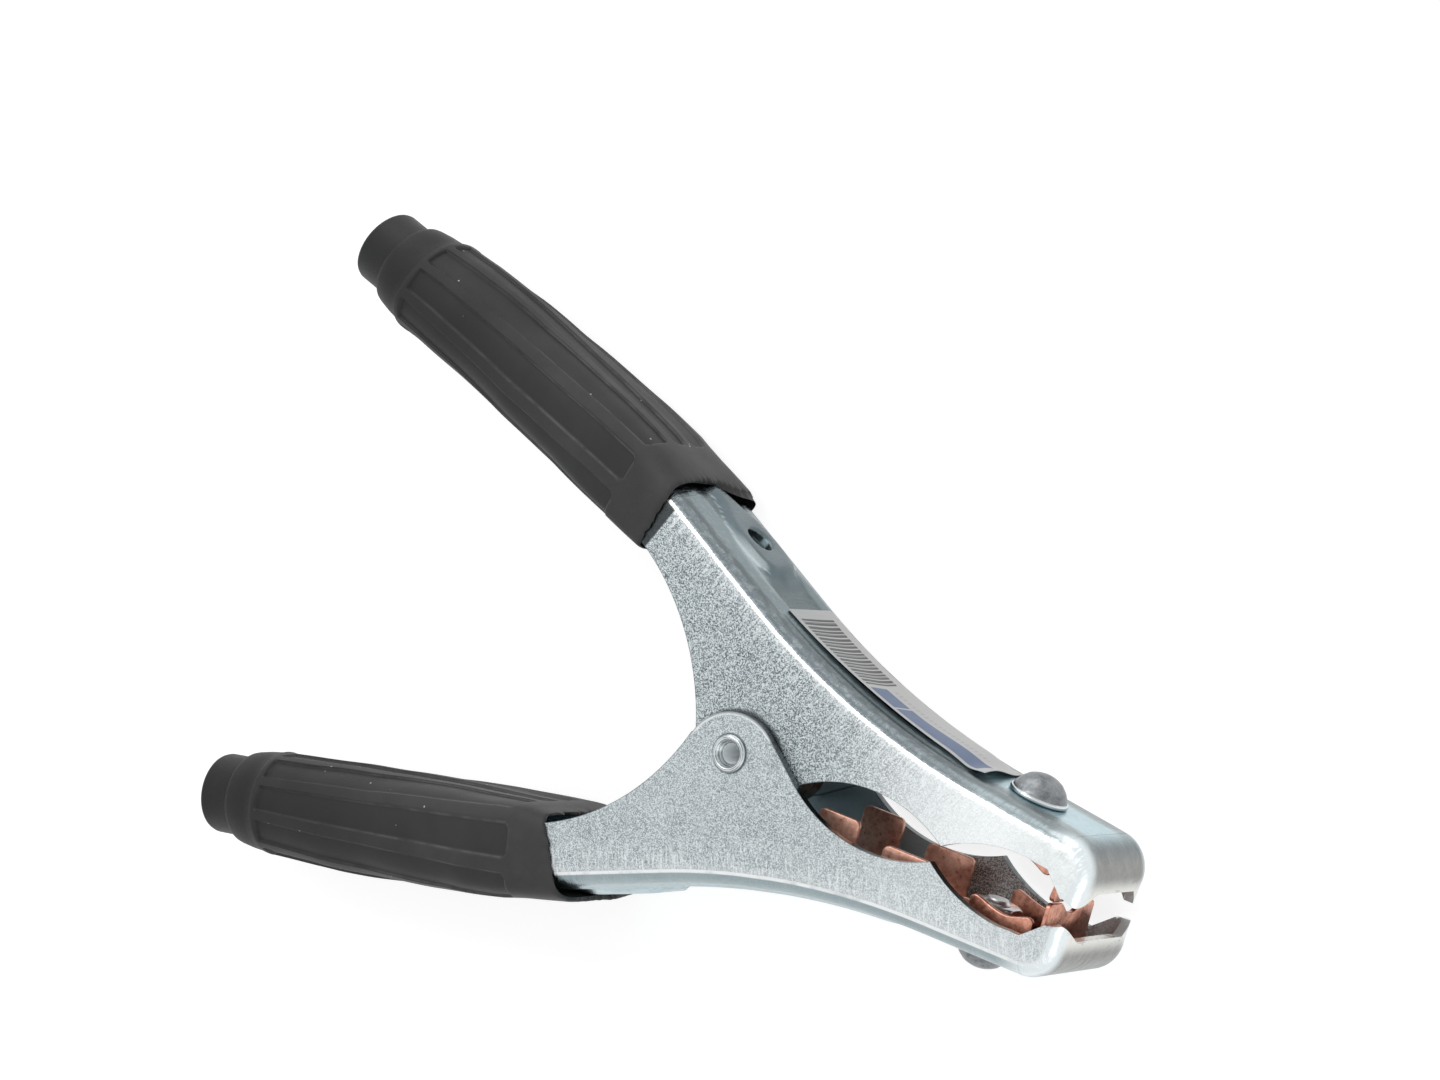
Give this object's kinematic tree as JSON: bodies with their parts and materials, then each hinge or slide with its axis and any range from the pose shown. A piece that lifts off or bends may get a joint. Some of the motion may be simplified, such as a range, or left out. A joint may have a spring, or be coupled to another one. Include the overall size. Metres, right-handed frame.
{
  "type": "spring clamp",
  "caption": "Sprung earth clamp of two pressed steel channels with copper contact trays, a hollow pivot rivet and rubber grips with cable nozzles.",
  "frame": {"origin": "centre of the footprint of the clamp lying on its side, on the resting plane", "axes": "+X along the centre line towards the jaws, +Y from the outer arm's handle to the inner arm's, +Z along the pivot, up from the resting plane"},
  "size_m": [0.2378, 0.1597, 0.0368],
  "materials": {
    "zinc_steel": "zinc plated, fine grain",
    "rivet_steel": "zinc plated, bright",
    "spring_steel": "oiled spring wire",
    "copper": "copper plated, satin",
    "bolt_steel": "matte zinc",
    "rubber": "matte, moulded",
    "label": "printed film, plain bars and a blue band"
  },
  "bodies": {
    "outer": {"outer_arm": "zinc_steel", "pivot_rivet": "rivet_steel", "torsion_spring": "spring_steel", "outer_contact": "copper", "outer_contact_bolt": "bolt_steel", "outer_lock_washer": "zinc_steel", "outer_contact_nut": "rivet_steel", "outer_grip": "rubber"},
    "inner": {"inner_arm": "zinc_steel", "inner_contact": "copper", "inner_contact_bolt": "bolt_steel", "inner_lock_washer": "zinc_steel", "inner_contact_nut": "rivet_steel", "inner_grip": "rubber", "label": "label"}
  },
  "joints": [
    {"name": "pivot", "type": "hinge", "parent": "outer", "child": "inner", "pos_m": [0.03017, 0, 0.0184], "axis": [0, 0, 1], "range_deg": [0, 32], "stiffness_Nm_per_rad": 3.5, "springref_deg": -57.3, "deforming": ["torsion_spring"]}
  ]
}
